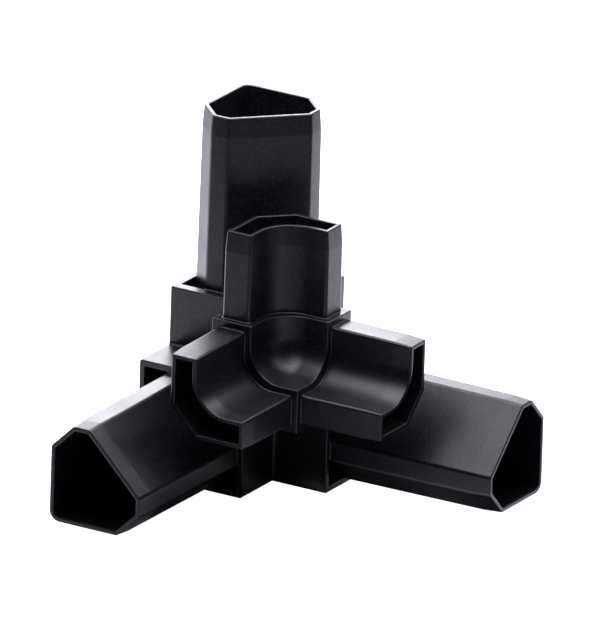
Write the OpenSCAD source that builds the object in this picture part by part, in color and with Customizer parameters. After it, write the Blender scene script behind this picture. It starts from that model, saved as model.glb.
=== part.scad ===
// Three-way corner connector for a square frame profile, moulded in one piece.
// The three outer faces meet at the origin, and the legs run along +X, +Y and +Z.

/* [Collars] */
// Width of the square frame profile, and of the collars that carry its outline on
profile_w = 50; // [45:1:80]
// Length of each collar past the solid corner, up to the stop for the profile
collar_len = 25; // [22:1:60]
// Thickness of the collar's rim, which is as thick as the profile's wall
collar_wall = 2.75; // [2:0.25:4]
// Depth of the pockets in the mouth of each collar
pocket_depth = 22; // [5:1:25]
// Radius on the long outer edges
edge_r = 1; // [0.4:0.1:1.5]
// Radius where two collars meet
root_fillet = 1.5; // [0.5:0.1:3]
// How much further the upright collar reaches on its two inner sides
post_step = 2.2; // [0.2:0.1:3]

/* [Outer spigots] */
// Length of each outer spigot past its collar
spigot_len = 75; // [40:1:150]
// Thickness of the spigot's wall at its tip
spigot_rim = 1.9; // [1.2:0.1:3.5]
// Width across each of the two side chamfers, measured along a flat
spigot_chamfer = 10.9; // [5:0.1:12]
// Size of the large bevel that faces the hub, measured along a flat
spigot_bevel = 25; // [18:0.5:28]
// Radius of the spigot's outer corner
spigot_corner_r = 5.8; // [4:0.2:8]

/* [Hub] */
// How far the hub's hollow face stands off the collars
hub_proud = 2.2; // [1:0.1:5]
// Thickness of the hub's arms, from their back to the hollow face
hub_thick = 18.7; // [17:0.1:24]
// Radius of the hub's hollow, at its three inner edges and in its corner
hollow_r = 14; // [8:0.5:16]

/* [Inner spigots] */
// Step from the hub's faces in to the inner spigots
inner_step = 2.9; // [1.5:0.1:3.5]
// Length of each inner spigot past the hub
inner_len = 37.5; // [20:0.5:70]
// Thickness of the inner spigot's wall at its tip
inner_rim = 1.8; // [1.2:0.1:2.6]
// Size of the chamfer on the inner spigot's back corner
inner_chamfer = 12.8; // [6:0.1:13.5]
// Radius on the two free edges of the inner spigot's hollow face
inner_nose_r = 1.4; // [0.5:0.1:2]
// Radius on the two long edges behind them
inner_back_r = 1.4; // [0.5:0.1:2]

/* [Moulding] */
// Length of the lead-in at the tip of every spigot
lead_len = 8.5; // [4:0.5:12]
// How far the lead-in has drawn each wall in at the tip
lead_in = 0.6; // [0.2:0.1:1]
// Draft on the outside of the spigots, in degrees
draft = 0.4; // [0.1:0.05:0.6]
// Draft on the cores inside the spigots, in degrees
core_draft = 0.25; // [0.1:0.05:0.5]
// Thickness of the webs between the cores, on the corner's mitre planes
web = 2.5; // [1.5:0.25:4]

/* [Hidden] */
$fn = 96;

// Heights along a leg: the stop for the profile, and the tips of both spigots
mouth = profile_w + collar_len;
spigot_tip = mouth + spigot_len;
inner_tip = mouth + inner_len;
// Flats of the outer spigot, which start flush with the inside of the collar
flat_low = collar_wall;
flat_high = profile_w - collar_wall;
// Faces of the hub: its hollow side and its back
hub_face = profile_w + hub_proud;
hub_back = hub_face - hub_thick;
// Faces of the inner spigot, one step inside the hub's
inner_face = hub_face - inner_step;
inner_low = hub_back + inner_step;
inner_high = mouth - inner_step;
// Angle of the lead-in, and how far the draft has drawn a wall in at some height
lead_angle = atan(lead_in / lead_len);
spigot_drawn = tan(draft) * (spigot_len - lead_len);
inner_drawn = tan(draft) * (inner_len - lead_len);
// Overlap that lets solids merge, spare length on cutters, and a length past everything
bite = 1;
far = 3 * spigot_tip;
// Turns that carry the Z leg onto the X leg and the Y leg
LEGS = [[0, 0, 0], [90, 0, 90], [-90, -90, 0]];

// Walls of each section as [direction the wall faces, distance from the leg's axis line]
spigot_walls = [
    [180, -flat_low],
    [270, -flat_low],
    [0, flat_high],
    [90, flat_high],
    [45, (2 * flat_high - spigot_bevel) / sqrt(2)],
    [-45, (flat_high - flat_low - spigot_chamfer) / sqrt(2)],
    [135, (flat_high - flat_low - spigot_chamfer) / sqrt(2)]
];
inner_walls = [
    [180, -inner_low],
    [270, -inner_low],
    [0, inner_high],
    [90, inner_high],
    [225, -(2 * inner_low + inner_chamfer) / sqrt(2)]
];

function moved_in(walls, by) = [for (w = walls) [w[0], w[1] - by]];

module on_each_leg() {
    for (turn = LEGS)
        rotate(turn)
            children();
}

// Everything past one wall, which leans in by some degrees as it rises through ref_z
module past_wall(wall, ref_z, lean) {
    rotate([0, 0, wall[0]])
        translate([wall[1], 0, ref_z])
            rotate([0, -lean, 0])
                translate([0, -far, -far])
                    cube([far, 2 * far, 2 * far]);
}

// What lies outside a round corner whose radius shrinks as the walls lean in
module past_corner(r, bottom, top, ref_z, lean) {
    centre = flat_low + spigot_corner_r;
    difference() {
        translate([-bite, -bite, bottom - bite])
            cube([centre + bite, centre + bite, top - bottom + 2 * bite]);
        translate([centre, centre, bottom - 2 * bite])
            cylinder(
                h = top - bottom + 4 * bite,
                r1 = r + tan(lean) * (ref_z - bottom + 2 * bite),
                r2 = r + tan(lean) * (ref_z - top - 2 * bite)
            );
    }
}

// A leg's section between two heights, with every wall at the same lean
module leaning(walls, bottom, top, ref_z, lean) {
    difference() {
        translate([0, 0, bottom])
            cube([mouth, mouth, top - bottom]);
        for (w = walls)
            past_wall(w, ref_z, lean);
    }
}

// The open quadrant past a hollow face, with a round inner edge
module hollow_side(face, r, bottom, top) {
    translate([face + r, face, bottom])
        cube([far, far, top - bottom]);
    translate([face, face + r, bottom])
        cube([far, far, top - bottom]);
    translate([face + r, face + r, bottom])
        cylinder(h = top - bottom, r = r);
}

// Region below the two mitre planes that part a leg from its neighbours
module below_mitres() {
    for (turn = [[0, -45, 0], [45, 0, 0]])
        rotate(turn)
            translate([-far, -far, web / 2 - 2 * far])
                cube([2 * far, 2 * far, 2 * far]);
}

// Square collar round the Z leg from some height up, with the pocket round its spigot
module collar(w, bottom) {
    r = edge_r;
    difference() {
        translate([0, 0, bottom])
            linear_extrude(mouth - bottom)
                union() {
                    square([w - r, w - r]);
                    translate([w - r, r])
                        square([r, w - 2 * r]);
                    translate([r, w - r])
                        square([w - 2 * r, r]);
                    for (p = [[w - r, r], [w - r, w - r], [r, w - r]])
                        translate(p)
                            circle(r);
                }
        translate([flat_low, flat_low, mouth - pocket_depth])
            cube([flat_high - flat_low, flat_high - flat_low, pocket_depth + bite]);
    }
}

// Space outside the three long edges where the outer faces meet
module past_outer_edges() {
    on_each_leg()
        difference() {
            translate([-bite, -bite, -bite])
                cube([edge_r + bite, edge_r + bite, mouth + 2 * bite]);
            translate([edge_r, edge_r, -2 * bite])
                cylinder(h = mouth + 4 * bite, r = edge_r);
        }
}

// Fillet along the inner edge where two collars meet, at their distances from the outer faces
module collar_fillet(u, v) {
    difference() {
        translate([u - bite, v - bite, edge_r])
            cube([root_fillet + bite, root_fillet + bite, hub_back]);
        translate([u + root_fillet, v + root_fillet, 0])
            cylinder(h = mouth, r = root_fillet);
    }
}

// Outer spigot: two flats, two chamfers, a large bevel and a round corner, with a lead-in
module spigot() {
    lead_z = spigot_tip - lead_len;
    r = spigot_corner_r;
    difference() {
        leaning(spigot_walls, bite, spigot_tip, mouth, draft);
        for (w = moved_in(spigot_walls, spigot_drawn))
            past_wall(w, lead_z, lead_angle);
        past_corner(r, 0, spigot_tip, mouth, draft);
        past_corner(r - spigot_drawn, lead_z, spigot_tip, lead_z, lead_angle);
    }
}

// Core that hollows an outer spigot down to the mitred webs in the corner
module spigot_core() {
    drawn = spigot_drawn + lead_in + spigot_rim;
    r = max(0.3, spigot_corner_r - drawn);
    top = spigot_tip + bite;
    difference() {
        leaning(moved_in(spigot_walls, drawn), bite, top, spigot_tip, -core_draft);
        past_core_corner(r, drawn, top);
        below_mitres();
    }
}

// Round corner of the core, concentric with the spigot's own
module past_core_corner(r, drawn, top) {
    centre = flat_low + drawn + r;
    difference() {
        cube([centre, centre, top + bite]);
        translate([centre, centre, -bite])
            cylinder(h = top + 3 * bite, r = r);
    }
}

// Block between the legs, hollowed by a ball rolled along its three inner faces
module hub() {
    centre = hub_face + hollow_r;
    difference() {
        translate([hub_back, hub_back, hub_back])
            cube(mouth - hub_back);
        on_each_leg()
            translate([centre, centre, hub_face])
                cube(far);
        on_each_leg()
            translate([centre, centre, centre])
                cylinder(h = far, r = hollow_r);
        translate([centre, centre, centre])
            sphere(hollow_r);
    }
}

// Widening of the inner spigot's hollow side towards its tip
module hollow_lead() {
    lead_z = inner_tip - lead_len;
    c = inner_face + hollow_r;
    for (side = [[90, [c, 0, lead_z]], [0, [0, c, lead_z]]])
        intersection() {
            past_wall([side[0], inner_face], lead_z, lead_angle);
            translate(side[1])
                cube([far, far, lead_len + bite]);
        }
    translate([c, c, lead_z])
        cylinder(
            h = lead_len + bite,
            r1 = hollow_r,
            r2 = hollow_r + tan(lead_angle) * (lead_len + bite)
        );
}

// Space outside a round on one long edge of the inner spigot, turned to face out of its corner
module past_long_edge(corner, r, turn) {
    translate([corner[0], corner[1], mouth])
        rotate([0, 0, turn])
            translate([-r, -r, 0])
                difference() {
                    cube([r + bite, r + bite, inner_len + bite]);
                    translate([0, 0, -bite])
                        cylinder(h = inner_len + 3 * bite, r = r);
                }
}

// Space outside the rounds on the noses and on the back edges
module past_long_edges() {
    past_long_edge([inner_high, inner_face], inner_nose_r, 0);
    past_long_edge([inner_face, inner_high], inner_nose_r, 0);
    past_long_edge([inner_high, inner_low], inner_back_r, -90);
    past_long_edge([inner_low, inner_high], inner_back_r, 90);
}

// Inner spigot: an angle with a chamfered back and a hollow face, with the same lead-in
module inner_spigot() {
    lead_z = inner_tip - lead_len;
    difference() {
        leaning(inner_walls, mouth - bite, inner_tip, mouth, draft);
        for (w = moved_in(inner_walls, inner_drawn))
            past_wall(w, lead_z, lead_angle);
        hollow_side(inner_face, hollow_r, 0, inner_tip + bite);
        hollow_lead();
        past_long_edges();
    }
}

// Core that hollows an inner spigot down to the mitred webs in the hub
module inner_core() {
    drawn = inner_drawn + lead_in + inner_rim;
    skin = lead_in + inner_rim;
    top = inner_tip + bite;
    difference() {
        leaning(moved_in(inner_walls, drawn), hub_back, top, inner_tip, -core_draft);
        hollow_side(inner_face - skin, hollow_r + skin, 0, top + bite);
        below_mitres();
    }
}

module corner_connector() {
    color("#1c1c1f")
        difference() {
            union() {
                difference() {
                    union() {
                        on_each_leg()
                            collar(profile_w, 0);
                        collar(profile_w + post_step, profile_w - edge_r);
                    }
                    past_outer_edges();
                }
                collar_fillet(profile_w, profile_w);
                rotate(LEGS[1])
                    collar_fillet(profile_w + post_step, profile_w);
                rotate(LEGS[2])
                    collar_fillet(profile_w, profile_w + post_step);
                on_each_leg()
                    spigot();
                hub();
                on_each_leg()
                    inner_spigot();
            }
            on_each_leg()
                spigot_core();
            on_each_leg()
                inner_core();
        }
}

corner_connector();
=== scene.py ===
# %% [markdown]
# # A moulded corner connector
# This lesson dresses one real product: the black nylon corner that joins three lengths of
# square frame profile. It is a single injection moulding, so the scene has one piece, and the
# work goes into its true form, its small edge radii, its grain and the light round it.
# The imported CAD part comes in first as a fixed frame, and everything is fitted to it.

# %% Load the fixed frame
import math

import bmesh
import bpy
from mathutils import Matrix, Vector


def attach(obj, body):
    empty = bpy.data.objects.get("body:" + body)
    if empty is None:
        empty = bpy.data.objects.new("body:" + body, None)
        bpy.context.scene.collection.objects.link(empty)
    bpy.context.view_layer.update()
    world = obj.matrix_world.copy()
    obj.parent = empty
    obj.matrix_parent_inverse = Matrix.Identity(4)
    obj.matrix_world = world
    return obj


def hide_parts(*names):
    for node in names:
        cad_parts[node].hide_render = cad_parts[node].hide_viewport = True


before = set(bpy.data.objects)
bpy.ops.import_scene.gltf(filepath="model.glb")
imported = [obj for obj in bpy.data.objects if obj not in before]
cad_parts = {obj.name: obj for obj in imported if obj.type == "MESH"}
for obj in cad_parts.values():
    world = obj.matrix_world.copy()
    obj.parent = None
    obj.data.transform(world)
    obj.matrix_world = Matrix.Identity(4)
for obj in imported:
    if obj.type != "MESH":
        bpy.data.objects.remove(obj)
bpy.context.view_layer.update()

# %% [markdown]
# ## The sizes of the moulding
# A moulding is drawn in millimetres, so the modelling is done in millimetres too and scaled to
# metres at the end. The three legs are alike: each has a square collar that carries on the
# outline of the profile, an outer spigot that slides inside the profile, and an inner spigot
# with a quarter-round face. Named sizes keep the legs alike and show what depends on what. The
# sizes that every form needs come first, and the others stand beside the form that they shape.

# %% Sizes that the forms share, in millimetres
MM = 0.001  # metres in a millimetre
PROFILE = 50.0  # outline of the frame profile and of the collars
MOUTH = 75.0  # from the outer corner to the mouth of a collar
RIM = 2.75  # the profile's wall, and so the rim of a collar
FLAT_LOW = RIM  # the two walls of a spigot that lie against the profile's outer sides
FLAT_HIGH = PROFILE - RIM  # and the two that lie against its inner sides
DRAFT = math.tan(math.radians(0.4))  # how far a wall leans in for each millimetre of height
LEAD_LEN = 8.5  # length of the lead-in at the tip of a spigot
LEAD_IN = 0.6  # how much further the lead-in draws its walls in
OVERSHOOT = 1.0  # how far a cutter goes past the face that it opens
print(f"walls of the outer spigot at {FLAT_LOW} and {FLAT_HIGH}, mouths at {MOUTH}")

# %% [markdown]
# ## Lofts: the way to a drafted wall
# Every wall of a moulding leans a little, the draft, so that the part lets go of its mould.
# A plain extrusion can't do that. A loft can: the same outline is drawn at several heights, each
# a little smaller, and the rings are joined by strips of faces. An outline is written as a list
# of walls, each with the direction it faces and its distance from the outer edge of the leg,
# where x and y are zero, and its corners are where neighbouring walls meet. Moving every wall in
# by one amount shrinks it.

# %% Helpers for outlines
def meeting(wall_a, wall_b):
    """The corner where two walls meet, each given by its direction in degrees and distance."""
    a, b = math.radians(wall_a[0]), math.radians(wall_b[0])
    turn = math.sin(b - a)
    x = (wall_a[1] * math.sin(b) - wall_b[1] * math.sin(a)) / turn
    y = (wall_b[1] * math.cos(a) - wall_a[1] * math.cos(b)) / turn
    return x, y


def arc(centre, radii, start, end, steps):
    """Points of an arc between two angles in degrees, with one radius for x and one for y."""
    points = []
    for i in range(steps + 1):
        angle = math.radians(start + (end - start) * i / steps)
        x = centre[0] + radii[0] * math.cos(angle)
        y = centre[1] + radii[1] * math.sin(angle)
        points.append((x, y))
    return points


# %% Helpers for solids
def in_scene(name, data):
    """A new object that holds the data, linked to the scene."""
    made = bpy.data.objects.new(name, data)
    bpy.context.scene.collection.objects.link(made)
    return made


def loft(name, rings):
    """A closed solid through rings of points, each ring a list of (x, y, z) in the same order."""
    mesh = bpy.data.meshes.new(name)
    bm = bmesh.new()
    rows = [[bm.verts.new(p) for p in ring] for ring in rings]
    count = len(rings[0])
    bm.faces.new(list(reversed(rows[0])))
    bm.faces.new(rows[-1])
    for low, high in zip(rows, rows[1:]):
        for i in range(count):
            j = (i + 1) % count
            bm.faces.new((low[i], low[j], high[j], high[i]))
    bmesh.ops.recalc_face_normals(bm, faces=bm.faces)
    bm.to_mesh(mesh)
    bm.free()
    return in_scene(name, mesh)


def block(name, low, high):
    """A box between two corners."""
    ring = [(low[0], low[1]), (high[0], low[1]), (high[0], high[1]), (low[0], high[1])]
    return loft(name, [[(x, y, z) for x, y in ring] for z in (low[2], high[2])])


# %% [markdown]
# ## The same leg three times
# But for one step on the upright collar, the part is the same seen along each of its three
# axes. So each form is drawn once, standing up along Z, and then turned: Z goes to X, X to Y and
# Y to Z. That turn is one small matrix, and used twice it gives the third leg. Drawing a leg once
# also means that a correction to it reaches all three.

# %% Turns that carry the upright leg onto the other two
TURN = Matrix(((0, 0, 1, 0), (1, 0, 0, 0), (0, 1, 0, 0), (0, 0, 0, 1)))
TURNS = {"z": Matrix.Identity(4), "x": TURN, "y": TURN @ TURN}


def on_each_leg(name, draw):
    """Draws a form upright for each leg and turns it onto that leg."""
    made = []
    for leg, turn in TURNS.items():
        solid = draw(f"{name}_{leg}")
        solid.data.transform(turn)
        made.append(solid)
    return made


# %% [markdown]
# ## Joining and cutting solids
# The mould's cavities flow into one another, so the legs, the collars and the hub have to become
# one skin before their edges can be rounded. A Boolean modifier does that. The exact solver is
# used because many faces of this part lie in one plane, such as the mouths of the collars and
# the ends of the hub, and a fast solver can leave slivers there.

# %% Helper that runs booleans and keeps the result
def combined(base, tools, operation):
    """Joins the tools to the base or cuts them from it, and removes them."""
    for tool in tools:
        step = base.modifiers.new(tool.name, "BOOLEAN")
        step.operation = operation
        step.solver = "EXACT"
        step.object = tool
    bpy.context.view_layer.update()
    graph = bpy.context.evaluated_depsgraph_get()
    finished = bpy.data.meshes.new_from_object(base.evaluated_get(graph))
    base.modifiers.clear()
    base.data = finished
    for tool in tools:
        bpy.data.objects.remove(tool)
    print(f"{operation.lower()} of {len(tools)} solids: {len(base.data.polygons)} faces")
    return base


# %% [markdown]
# ## Collars
# Each collar is a square block with the outline of the profile. On the photograph the upright
# collar reaches a little further on its two inner sides, level with the hub, so it gets a wider
# block over the other two. The square pockets in the mouths are cut before the spigots are
# added: the spigots then fill all of them but their four corners, as on the real part.

# %% Collars with their pockets
POST_STEP = 2.2  # how much further the upright collar reaches
POCKET_DEPTH = 22.0  # how far the pockets go down from the mouths
WIDE = PROFILE + POST_STEP


def collar_block(name):
    return block(name, (0, 0, 0), (PROFILE, PROFILE, MOUTH))


def pocket_block(name):
    low = (FLAT_LOW, FLAT_LOW, MOUTH - POCKET_DEPTH)
    return block(name, low, (FLAT_HIGH, FLAT_HIGH, MOUTH + OVERSHOOT))


collars = on_each_leg("collar", collar_block)
collars.append(block("collar_step", (0, 0, PROFILE), (WIDE, WIDE, MOUTH)))
moulding = combined(collars[0], collars[1:], "UNION")
moulding = combined(moulding, on_each_leg("pocket", pocket_block), "DIFFERENCE")
moulding.name = "connector_moulding"

# %% [markdown]
# ## Hub with its rolled hollow
# The hub is a cube behind the three inner spigots, and its inner side is hollowed as if a large
# ball had been rolled along all three of its edges. In Blender the ball's path is simply a cube
# with three edges bevelled by the ball's radius: where the three bevels meet, the bevel tool
# makes the eighth of a ball that ends the hollow. That cube is then cut out of the hub.

# %% Hub and hollow
HUB_FACE = 52.2  # the nearest that the hollow comes to each outer face of the part
HUB_BACK = 33.5  # the sides of the hub that face back, between the collars
HOLLOW_R = 14.0  # radius of the rolled ball
HOLLOW_STEPS = 28  # steps of every arc with that radius
HOLLOW_REACH = 40.0  # how far the cutter goes past the hub
TOUCH = 0.001  # points closer than this count as one


def rolled_hollow(name):
    """The cutter for the hollow, a cube with three rounded edges."""
    far = MOUTH + HOLLOW_REACH
    corner = Vector((HUB_FACE,) * 3)
    cutter = block(name, corner, (far,) * 3)
    bm = bmesh.new()
    bm.from_mesh(cutter.data)
    near = [v for v in bm.verts if (v.co - corner).length < TOUCH]
    bmesh.ops.bevel(bm, geom=list(near[0].link_edges), offset=HOLLOW_R, segments=HOLLOW_STEPS,
                    profile=0.5, affect="EDGES", clamp_overlap=False)
    bm.to_mesh(cutter.data)
    centre = Vector((HUB_FACE + HOLLOW_R,) * 3)
    ball = [v for v in bm.verts if max(v.co) <= max(centre) + TOUCH]
    miss = max(abs((v.co - centre).length - HOLLOW_R) for v in ball)
    print(f"hollow: {len(ball)} points on the ball, furthest off by {miss:.4f} mm")
    bm.free()
    return cutter


hub = block("hub", (HUB_BACK,) * 3, (MOUTH,) * 3)
hub = combined(hub, [rolled_hollow("hollow")], "DIFFERENCE")

# %% [markdown]
# ## Outer spigots
# Seen from its end an outer spigot has two full flats, a round corner between them, two side
# chamfers and one large bevel that faces the hub. It tapers by 0.4 degrees, and over its last
# 8.5 mm the lead-in draws every wall in further, so that the profile slides on easily. The rings
# of the loft are at the heights where the taper changes. One ring lies exactly in the mouth of
# the collar, where the spigot's flats meet the collar's inner walls, to keep that line clean.

# %% Outline of the outer spigot
SPIGOT_CHAMFER = 10.9  # what the side chamfers take from each wall
SPIGOT_BEVEL = 25.0  # and what the bevel towards the hub takes
SPIGOT_CORNER_R = 5.8  # radius of the corner between the two full flats
CORNER_STEPS = 14
SPIGOT_WALLS = [
    (180, -FLAT_LOW),
    (270, -FLAT_LOW),
    (315, (FLAT_HIGH - FLAT_LOW - SPIGOT_CHAMFER) / math.sqrt(2)),
    (360, FLAT_HIGH),
    (405, (2 * FLAT_HIGH - SPIGOT_BEVEL) / math.sqrt(2)),
    (450, FLAT_HIGH),
    (495, (FLAT_HIGH - FLAT_LOW - SPIGOT_CHAMFER) / math.sqrt(2)),
    (540, -FLAT_LOW),
]


def spigot_ring(inset, z):
    """Outline of the outer spigot at the height z, with every wall moved in by inset."""
    centre = FLAT_LOW + SPIGOT_CORNER_R
    radius = SPIGOT_CORNER_R - inset
    walls = [(way, away - inset) for way, away in SPIGOT_WALLS]
    ring = arc((centre, centre), (radius, radius), 180, 270, CORNER_STEPS)
    ring += [meeting(a, b) for a, b in zip(walls[1:], walls[2:])]
    return [(x, y, z) for x, y in ring]


# %% Loft the outer spigots
SPIGOT_TIP = 150.0
SPIGOT_FOOT = 4.0  # the loft starts here, deep in the corner
LEAD_Z = SPIGOT_TIP - LEAD_LEN
SPIGOT_DRAWN = DRAFT * (LEAD_Z - MOUTH)  # how far the taper has drawn the walls in by then


def outer_spigot(name):
    rings = [spigot_ring(DRAFT * (z - MOUTH), z) for z in (SPIGOT_FOOT, MOUTH, LEAD_Z)]
    rings.append(spigot_ring(SPIGOT_DRAWN + LEAD_IN, SPIGOT_TIP))
    return loft(name, rings)


spigots = on_each_leg("spigot", outer_spigot)
print("points in the outline of an outer spigot:", len(spigots[0].data.vertices) // 4)

# %% [markdown]
# ## Inner spigots
# The inner spigot is an angle: its outline goes round a chamfered back corner, out to two
# rounded noses and back along a hollow face of 14 mm radius, so that it carries on the hollow of
# the hub one step lower. It has the same draft and lead-in. A list of points in one fixed order,
# whatever the height, is all that the loft needs. The noses and the back edges are drawn as arcs
# of 1.4 mm that keep their centres and lose radius as the walls lean in.

# %% Outline of the inner spigot
INNER_STEP = 2.9  # the step from the hub's faces down to the spigot's
INNER_CHAMFER = 12.8  # what the back corner's chamfer takes from each wall
NOSE_R = 1.4  # radius of the noses
BACK_R = 1.4  # radius of the back edges
NOSE_STEPS = 6  # steps of these two arcs
INNER_FACE = HUB_FACE - INNER_STEP
INNER_LOW = HUB_BACK + INNER_STEP
INNER_HIGH = MOUTH - INNER_STEP


def angle_ring(inset, dip, rounded, z):
    """Outline of the inner spigot: inset moves the flat walls in, dip lowers the hollow face."""
    low = INNER_LOW + inset
    high = INNER_HIGH - inset
    chamfer = 2 * INNER_LOW + INNER_CHAMFER + math.sqrt(2) * inset
    face = INNER_FACE - dip
    half = [(chamfer - low, low)]
    if rounded:
        back = (BACK_R - inset, BACK_R - inset)
        nose = (NOSE_R - inset, NOSE_R - dip)
        half += arc((INNER_HIGH - BACK_R, INNER_LOW + BACK_R), back, 270, 360, NOSE_STEPS)
        half += arc((INNER_HIGH - NOSE_R, INNER_FACE - NOSE_R), nose, 0, 90, NOSE_STEPS)
    else:
        half += [(high, low), (high, face)]
    centre = INNER_FACE + HOLLOW_R
    bend = arc((centre, centre), (HOLLOW_R + dip, HOLLOW_R + dip), 270, 180, HOLLOW_STEPS)
    mirrored = [(y, x) for x, y in reversed(half)]
    return [(x, y, z) for x, y in half + bend + mirrored]


# %% Loft the inner spigots and join everything
INNER_TIP = 112.5
INNER_FOOT = MOUTH - 4.0  # the loft starts inside the hub
INNER_LEAD_Z = INNER_TIP - LEAD_LEN
INNER_DRAWN = DRAFT * (INNER_LEAD_Z - MOUTH)


def inner_spigot(name):
    heights = (INNER_FOOT, MOUTH, INNER_LEAD_Z)
    rings = [angle_ring(DRAFT * (z - MOUTH), 0, True, z) for z in heights]
    rings.append(angle_ring(INNER_DRAWN + LEAD_IN, LEAD_IN, True, INNER_TIP))
    return loft(name, rings)


inner_spigots = on_each_leg("inner_spigot", inner_spigot)
moulding = combined(moulding, spigots + [hub] + inner_spigots, "UNION")

# %% [markdown]
# ## Cores
# A moulding this thick would shrink and warp, so every spigot is cored out to a wall of about two
# millimetres. The cores run down into the corner until they would meet their neighbours, and stop
# at webs on the three mitre planes. A core is the spigot's own outline, moved in by the wall and
# leaning the other way. Its foot is trimmed by two planes at 45 degrees with a bisect.

# %% Helper that trims a core
WEB = 2.5  # thickness of the webs between the cores


def trimmed_to_mitres(core):
    """Cuts the foot of a core along its two mitre planes, half a web away from them."""
    bm = bmesh.new()
    bm.from_mesh(core.data)
    for normal in ((-1, 0, 1), (0, -1, 1)):
        way = Vector(normal).normalized()
        everything = bm.verts[:] + bm.edges[:] + bm.faces[:]
        cut = bmesh.ops.bisect_plane(bm, geom=everything, plane_co=way * WEB / 2, plane_no=way,
                                     clear_inner=True, dist=1e-5)
        rim = [e for e in cut["geom_cut"] if isinstance(e, bmesh.types.BMEdge)]
        bmesh.ops.contextual_create(bm, geom=rim)
    bmesh.ops.recalc_face_normals(bm, faces=bm.faces)
    bm.to_mesh(core.data)
    bm.free()
    return core


# %% Cores of all the spigots
SPIGOT_RIM = 1.9  # wall of an outer spigot at its tip
INNER_RIM = 1.8  # and of an inner one
CORE_DRAFT = math.tan(math.radians(0.25))


def spigot_core(name):
    rings = []
    for z in (0.0, SPIGOT_TIP + OVERSHOOT):
        inset = SPIGOT_DRAWN + LEAD_IN + SPIGOT_RIM + CORE_DRAFT * (SPIGOT_TIP - z)
        rings.append(spigot_ring(inset, z))
    return trimmed_to_mitres(loft(name, rings))


def angle_core(name):
    rings = []
    for z in (HUB_BACK, INNER_TIP + OVERSHOOT):
        inset = INNER_DRAWN + LEAD_IN + INNER_RIM + CORE_DRAFT * (INNER_TIP - z)
        rings.append(angle_ring(inset, LEAD_IN + INNER_RIM, False, z))
    return trimmed_to_mitres(loft(name, rings))


cores = on_each_leg("spigot_core", spigot_core) + on_each_leg("angle_core", angle_core)
moulding = combined(moulding, cores, "DIFFERENCE")

# %% [markdown]
# ## Edge radii
# No moulded edge is sharp, and a black part shows its form mostly by the thin bright lines on its
# edges. The radii differ: 1 mm on the long edges of the collars and the outer spigots, 1.5 mm
# where two collars meet, and half a millimetre elsewhere. One Bevel modifier reads them all from
# edge weights, so that corners where different radii meet are still closed well. The edges are
# told apart by the lines that they lie on. Where a lead-in starts, the walls turn by only a few
# degrees, so that edge gets no radius and is kept sharp in the shading. First the skin is cleaned
# of the boolean's seams.

# %% The lines that have radii of their own
RADII = {"fine": 0.5, "long": 1.0, "spigot": 1.0, "root": 1.5}
WIDEST = max(RADII.values())
ON_THE_LINE = 0.02  # an edge this close to a line lies on it
SPIGOT_LEAN = 1.1  # the edges of a spigot lean away from their lines, by the draft and lead-in


def turned(lines):
    """The same lines for all three legs."""
    every = []
    for a, b, c in lines:
        every += [(a, b, c), (c, a, b), (b, c, a)]
    return every


LONG_LINES = turned([(0, 0, None), (PROFILE, 0, None), (0, PROFILE, None)])
LONG_LINES += [(WIDE, 0, None), (0, WIDE, None)]
ROOT_LINES = [(PROFILE, PROFILE, None), (None, WIDE, PROFILE), (WIDE, None, PROFILE)]
SPIGOT_CORNERS = spigot_ring(0, MOUTH)[CORNER_STEPS + 1:]
SPIGOT_LINES = turned([(x, y, None) for x, y, z in SPIGOT_CORNERS])
LEAD_LINES = turned([(None, None, LEAD_Z), (None, None, INNER_LEAD_Z)])
print("lines:", len(LONG_LINES), "long,", len(ROOT_LINES), "root,", len(SPIGOT_LINES), "spigot")

# %% Helpers that tell the edges apart
def runs_along(edge, lines, slack=ON_THE_LINE):
    """True if both ends of the edge have the fixed coordinates of a line, such as (0, 50, None)."""
    for line in lines:
        fixed = [(i, value) for i, value in enumerate(line) if value is not None]
        if all(abs(v.co[i] - value) < slack for v in edge.verts for i, value in fixed):
            return True
    return False


def kind_of(edge):
    """Which of the radii the edge gets."""
    if runs_along(edge, LONG_LINES):
        return "long"
    if runs_along(edge, ROOT_LINES):
        return "root"
    far_from_the_corner = max(v.co.length for v in edge.verts) > MOUTH
    if far_from_the_corner and runs_along(edge, SPIGOT_LINES, SPIGOT_LEAN):
        return "spigot"
    return "fine"


# %% Clean the skin and weigh its edges
SEAM = 0.002  # points of a seam are closer together than this
SEAM_ANGLE = math.radians(0.15)  # faces that turn by less than this are one face
SHARP = math.radians(22)  # an edge that turns by less is a lead-in's or part of a round
bm = bmesh.new()
bm.from_mesh(moulding.data)
bmesh.ops.remove_doubles(bm, verts=bm.verts, dist=SEAM)
bmesh.ops.dissolve_limit(bm, angle_limit=SEAM_ANGLE, verts=bm.verts, edges=bm.edges)
layers = bm.edges.layers.float
weights = layers.get("bevel_weight_edge") or layers.new("bevel_weight_edge")
tally = dict.fromkeys((*RADII, "lead", "open"), 0)
for edge in bm.edges:
    if len(edge.link_faces) != 2:
        tally["open"] += 1
    elif edge.calc_face_angle() < SHARP:
        edge.smooth = not runs_along(edge, LEAD_LINES)
        tally["lead"] += not edge.smooth
    else:
        kind = kind_of(edge)
        edge[weights] = RADII[kind] / WIDEST
        tally[kind] += 1
for face in bm.faces:
    face.smooth = True
bmesh.ops.scale(bm, vec=(MM,) * 3, verts=bm.verts)
bm.to_mesh(moulding.data)
print("edges by radius:", tally, "faces:", len(bm.faces))
bm.free()

# %% [markdown]
# ## Rounding and shading
# Three steps to a radius are enough at this size. Each edge is cut back by its radius on both
# sides, and weighted normals then let the large faces keep their own direction, so that all the
# bending of the light happens in the narrow strips along the edges, as on the real part.

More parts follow.
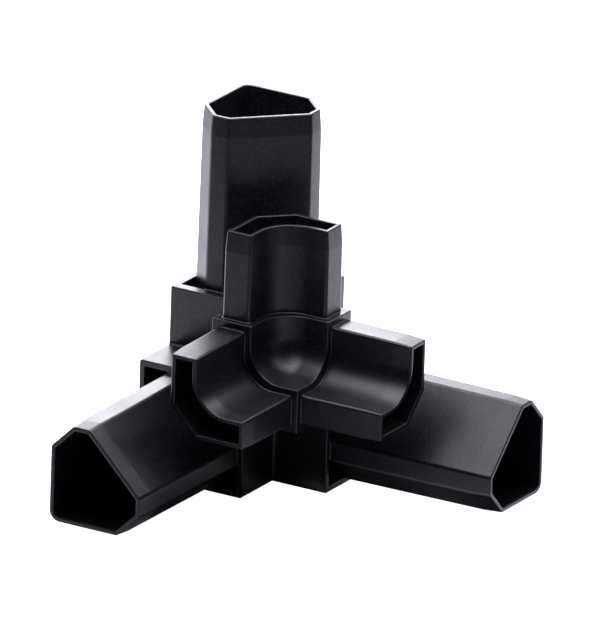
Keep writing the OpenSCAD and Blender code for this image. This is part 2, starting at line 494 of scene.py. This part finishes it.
# %% Round all the edges at once
rounding = moulding.modifiers.new("edge radii", "BEVEL")
rounding.limit_method = "WEIGHT"
rounding.offset_type = "OFFSET"
rounding.width = WIDEST * MM
rounding.segments = 3
rounding.profile = 0.5
rounding.use_clamp_overlap = False
rounding.loop_slide = True
rounding.harden_normals = False
shading = moulding.modifiers.new("even shading", "WEIGHTED_NORMAL")
shading.mode = "FACE_AREA"
shading.keep_sharp = True
print("widest radius in mm:", WIDEST, "steps:", rounding.segments)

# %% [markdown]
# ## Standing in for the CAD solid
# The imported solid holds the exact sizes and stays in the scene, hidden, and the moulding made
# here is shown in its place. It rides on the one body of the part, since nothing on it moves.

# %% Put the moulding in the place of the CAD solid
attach(moulding, "root")
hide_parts("corner_connector")
print("shown for corner_connector:", moulding.name)

# %% [markdown]
# ## Black nylon
# The real surface is glass-filled nylon, dyed through and moulded in a finely sparked tool. Close
# to, it isn't one flat black: the skin has a fine grain, flow marks make it a little duller in
# some places than in others, and glass fibres give tiny paler specks. All of this can come from
# noise at three scales, read from object coordinates in metres, so that the grain has its real
# size and stays on the part from every side. The grain goes into the bump and the gloss more than
# into the colour, because that is how a black part shows it.

# %% Helpers for materials
def new_material(name):
    """A new material, its node tree and its shader."""
    made = bpy.data.materials.new(name)
    made.use_nodes = True
    return made, made.node_tree, made.node_tree.nodes["Principled BSDF"]


def node_of(tree, kind, name, **sockets):
    """A new node with a label and the values of its sockets."""
    node = tree.nodes.new(kind)
    node.label = name
    for socket, value in sockets.items():
        node.inputs[socket.replace("_", " ")].default_value = value
    return node


def noise(tree, where, name, grain_mm, detail):
    """Noise whose grains are about grain_mm across on the part."""
    made = node_of(tree, "ShaderNodeTexNoise", name, Scale=1000 / grain_mm, Detail=detail)
    tree.links.new(where, made.inputs["Vector"])
    return made.outputs["Fac"]


def between(tree, factor, name, span, values):
    """Maps a span of the factor to a span of values, for sockets that take one number."""
    made = node_of(tree, "ShaderNodeMapRange", name, From_Min=span[0], From_Max=span[1],
                   To_Min=values[0], To_Max=values[1])
    tree.links.new(factor, made.inputs["Value"])
    return made.outputs["Result"]


# %% Colour of the nylon: dye, flow marks and flecks
BLACK = (0.0030, 0.0027, 0.0056, 1)
WORN_BLACK = (0.0185, 0.0172, 0.0250, 1)
GRAIN_MM = 0.7
FLECK_MM = 1.1
FLOW_MM = 18
nylon, tree, skin = new_material("sparked_nylon")
where = node_of(tree, "ShaderNodeTexCoord", "place on the part").outputs["Object"]
grain = noise(tree, where, "sparked grain", GRAIN_MM, 4)
fleck = noise(tree, where, "glass flecks", FLECK_MM, 6)
flow = noise(tree, where, "flow marks", FLOW_MM, 3)

tint = node_of(tree, "ShaderNodeMix", "dye")
tint.data_type = "RGBA"
tint.inputs["A"].default_value = BLACK
tint.inputs["B"].default_value = WORN_BLACK
blend = node_of(tree, "ShaderNodeMath", "flecks in the flow")
blend.operation = "MULTIPLY"
peaks = between(tree, fleck, "only the peaks", (0.47, 0.66), (0.0, 1.0))
clouds = between(tree, flow, "soft clouds", (0.3, 0.7), (0.5, 1.0))
tree.links.new(peaks, blend.inputs[0])
tree.links.new(clouds, blend.inputs[1])
tree.links.new(blend.outputs["Value"], tint.inputs["Factor"])
tree.links.new(tint.outputs["Result"], skin.inputs["Base Color"])

# %% Gloss and relief of the nylon
NYLON_IOR = 1.53
GRAIN_RELIEF = 0.00006  # depth of the grain in metres
dull = node_of(tree, "ShaderNodeMath", "gloss")
dull.operation = "ADD"
flow_gloss = between(tree, flow, "flow gloss", (0.3, 0.7), (0.32, 0.38))
grain_gloss = between(tree, grain, "grain gloss", (0.3, 0.7), (-0.03, 0.05))
tree.links.new(flow_gloss, dull.inputs[0])
tree.links.new(grain_gloss, dull.inputs[1])
tree.links.new(dull.outputs["Value"], skin.inputs["Roughness"])

relief = node_of(tree, "ShaderNodeBump", "grain relief", Strength=0.8, Distance=GRAIN_RELIEF)
tree.links.new(grain, relief.inputs["Height"])
tree.links.new(relief.outputs["Normal"], skin.inputs["Normal"])
skin.inputs["IOR"].default_value = NYLON_IOR
moulding.data.materials.clear()
moulding.data.materials.append(nylon)
print("nodes in the nylon:", len(tree.nodes))

# %% [markdown]
# ## Floor and backdrop
# The photograph is a packshot: a pure white ground with hardly a shadow. A pale floor that glows
# gives that, and a white world closes the view above the horizon. The floor is stage, not part
# of the object. A black part mirrors whatever stands round it, so the floor is hidden from
# reflections, and the world is white to the camera alone and black to every other ray. What the
# part mirrors is then set up with the softboxes below.

# %% Floor
FLOOR_REACH = 14.0
FLOOR_THICKNESS = 0.01
FLOOR_GLOW = 1.1
floor_low = (-FLOOR_REACH, -FLOOR_REACH, -FLOOR_THICKNESS)
floor = block("floor", floor_low, (FLOOR_REACH, FLOOR_REACH, 0))
floor_paper, _, sheet = new_material("floor_paper")
sheet.inputs["Base Color"].default_value = (0.8, 0.8, 0.8, 1)
sheet.inputs["Roughness"].default_value = 0.9
sheet.inputs["Emission Color"].default_value = (1, 1, 1, 1)
sheet.inputs["Emission Strength"].default_value = FLOOR_GLOW
floor.data.materials.append(floor_paper)
floor.visible_glossy = False
floor.visible_diffuse = False
floor.visible_transmission = False
floor.visible_shadow = False
print("floor in metres:", [round(side, 2) for side in floor.dimensions])

# %% Backdrop
SKY_GLOW = 1.2
world = bpy.data.worlds.new("white_to_the_camera")
world.use_nodes = True
sky = world.node_tree
ray = sky.nodes.new("ShaderNodeLightPath")
sky.links.new(ray.outputs["Is Camera Ray"], sky.nodes["Background"].inputs["Color"])
sky.nodes["Background"].inputs["Strength"].default_value = SKY_GLOW
bpy.context.scene.world = world
print("world:", world.name)

# %% [markdown]
# ## The part's own shade
# The lowest faces are almost black on the photograph, because they mirror the ground right beside
# the part, which the part itself shades. The white floor is left out of the reflections, so a
# small dark card takes the place of that shade: it is soft at its rim, lies on the ground between
# the two lying legs, and only the reflections see it. A smaller one lies by the right collar.

# %% Shade cards
CARD_SIDES = 48
CARD_HEIGHT = -0.0004  # just under the part, in metres
CARD_SHADE = 0.97  # how much of the light the middle of a card takes
CARD_SOLID = 0.45  # the share of the radius where the soft rim starts


def shade_card(name, centre, radius):
    """A dark disc on the ground with a soft rim, which the camera doesn't see."""
    mesh = bpy.data.meshes.new(name)
    bm = bmesh.new()
    bmesh.ops.create_circle(bm, cap_ends=True, segments=CARD_SIDES, radius=radius)
    bm.to_mesh(mesh)
    bm.free()
    paper, tree, dark = new_material(name)
    dark.inputs["Base Color"].default_value = (0.001, 0.001, 0.001, 1)
    dark.inputs["Roughness"].default_value = 1
    reach = node_of(tree, "ShaderNodeVectorMath", "distance from the middle")
    reach.operation = "LENGTH"
    place = node_of(tree, "ShaderNodeTexCoord", "place").outputs["Object"]
    tree.links.new(place, reach.inputs[0])
    soft_rim = (CARD_SOLID * radius, radius)
    fade = between(tree, reach.outputs["Value"], "soft rim", soft_rim, (CARD_SHADE, 0))
    tree.links.new(fade, dark.inputs["Alpha"])
    mesh.materials.append(paper)
    card = in_scene(name, mesh)
    card.location = (*centre, CARD_HEIGHT)
    card.visible_camera = False
    print(f"{name}: {radius} m round {centre}")


shade_card("shade_of_the_hub", (0.075, 0.038), 0.09)
shade_card("shade_of_the_right_collar", (0.025, 0.082), 0.04)

# %% [markdown]
# ## Studio light
# Black plastic is lit by what it reflects, so the light is a set of softboxes that stand close
# round the part, 0.4 to 0.6 m from it. Close ones matter: their reflections slide along the flat
# faces, so that a face runs from grey to black, as every face on the photograph does. The bright
# ones stand low behind the part, for the tops and rims, and high up, for the hollows. Those below
# the part's middle, which give what the ground would throw back, are a little bluer. Each is
# placed by its direction and distance, in degrees and metres, and has its own size and power. The
# camera doesn't see them.

# %% The softboxes
PART_CENTRE = Vector((0.06, 0.06, 0.06))
HIGH_TINT = (0.955, 0.94, 1.0)
LOW_TINT = (0.9, 0.875, 1.0)
SOFTBOXES = [  # azimuth from +X, elevation, distance, width of the disc, power in watts
    (180, -8, 0.42, 0.34, 1.02),
    (236, 19, 0.6, 0.2, 0.85),
    (224, 19, 0.6, 0.2, 0.81),
    (300, 70, 0.42, 0.34, 0.65),
    (180, 70, 0.42, 0.34, 0.60),
    (126, 62, 0.42, 0.36, 0.55),
    (0, 70, 0.42, 0.34, 0.49),
    (240, 70, 0.42, 0.34, 0.43),
    (240, -8, 0.42, 0.34, 0.38),
    (140, -28, 0.42, 0.34, 0.36),
    (180, 28, 0.42, 0.34, 0.33),
    (0, -55, 0.42, 0.34, 0.28),
    (200, 19, 0.6, 0.2, 0.27),
    (300, -28, 0.42, 0.34, 0.24),
    (60, -28, 0.42, 0.34, 0.21),
    (220, -28, 0.42, 0.34, 0.20),
    (212, 19, 0.6, 0.2, 0.28),
    (288, -55, 0.42, 0.34, 0.18),
    (150, 50, 0.42, 0.16, 0.17),
    (310, -26, 0.42, 0.16, 0.14),
    (20, -28, 0.42, 0.34, 0.13),
    (275, -18, 0.42, 0.16, 0.30),
    (258, -12, 0.42, 0.16, 0.12),
    (0, 90, 0.42, 0.34, 0.11),
    (340, -28, 0.42, 0.34, 0.10),
    (210, 28, 0.6, 0.16, 0.60),
    (150, -8, 0.42, 0.34, 0.07),
    (90, -8, 0.42, 0.34, 0.06),
]
for azimuth, elevation, distance, size, watts in SOFTBOXES:
    a, e = math.radians(azimuth), math.radians(elevation)
    away = Vector((math.cos(a) * math.cos(e), math.sin(a) * math.cos(e), math.sin(e)))
    lamp = bpy.data.lights.new("softbox", "AREA")
    lamp.shape = "DISK"
    lamp.size = size
    lamp.color = HIGH_TINT if elevation > 0 else LOW_TINT
    lamp.energy = watts / lamp.color[1]  # a tint changes the colour, not the brightness
    softbox = in_scene("softbox", lamp)
    softbox.location = PART_CENTRE + distance * away
    softbox.rotation_mode = "QUATERNION"
    softbox.rotation_quaternion = away.to_track_quat("Z", "Y")
    softbox.visible_camera = False
print("softboxes:", len(SOFTBOXES), "watts in all:", round(sum(box[4] for box in SOFTBOXES), 2))

# %% [markdown]
# ## Camera
# Parallel edges hardly draw together on the photograph, so it was taken from far away with a long
# lens. The camera's place, turn and lens were fitted to the edges and corners that can be seen,
# and it stands about 11 m from the part. The fit gives the focal length in pixels of the picture,
# and Blender's sensor width belongs to the longer side of a picture, which is its height here.
# The Standard view leaves the white of the ground and the black of the nylon as they are lit.

# %% Camera
CAMERA_AT = Vector((9.15124, 5.33972, 3.90318))
CAMERA_TURN = (0.39711, 0.29438, 0.492228, 0.716488)
FOCAL_PIXELS = 27539
PICTURE_HEIGHT = 639
SENSOR_MM = 36
camera_data = bpy.data.cameras.new("camera")
camera_data.lens = FOCAL_PIXELS * SENSOR_MM / PICTURE_HEIGHT
camera_data.sensor_width = SENSOR_MM
camera_data.clip_end = 100
camera = in_scene("camera", camera_data)
camera.location = CAMERA_AT
camera.rotation_mode = "QUATERNION"
camera.rotation_quaternion = CAMERA_TURN
bpy.context.scene.camera = camera
bpy.context.scene.view_settings.view_transform = "Standard"
print("camera in metres from the part:", round((CAMERA_AT - PART_CENTRE).length, 2))
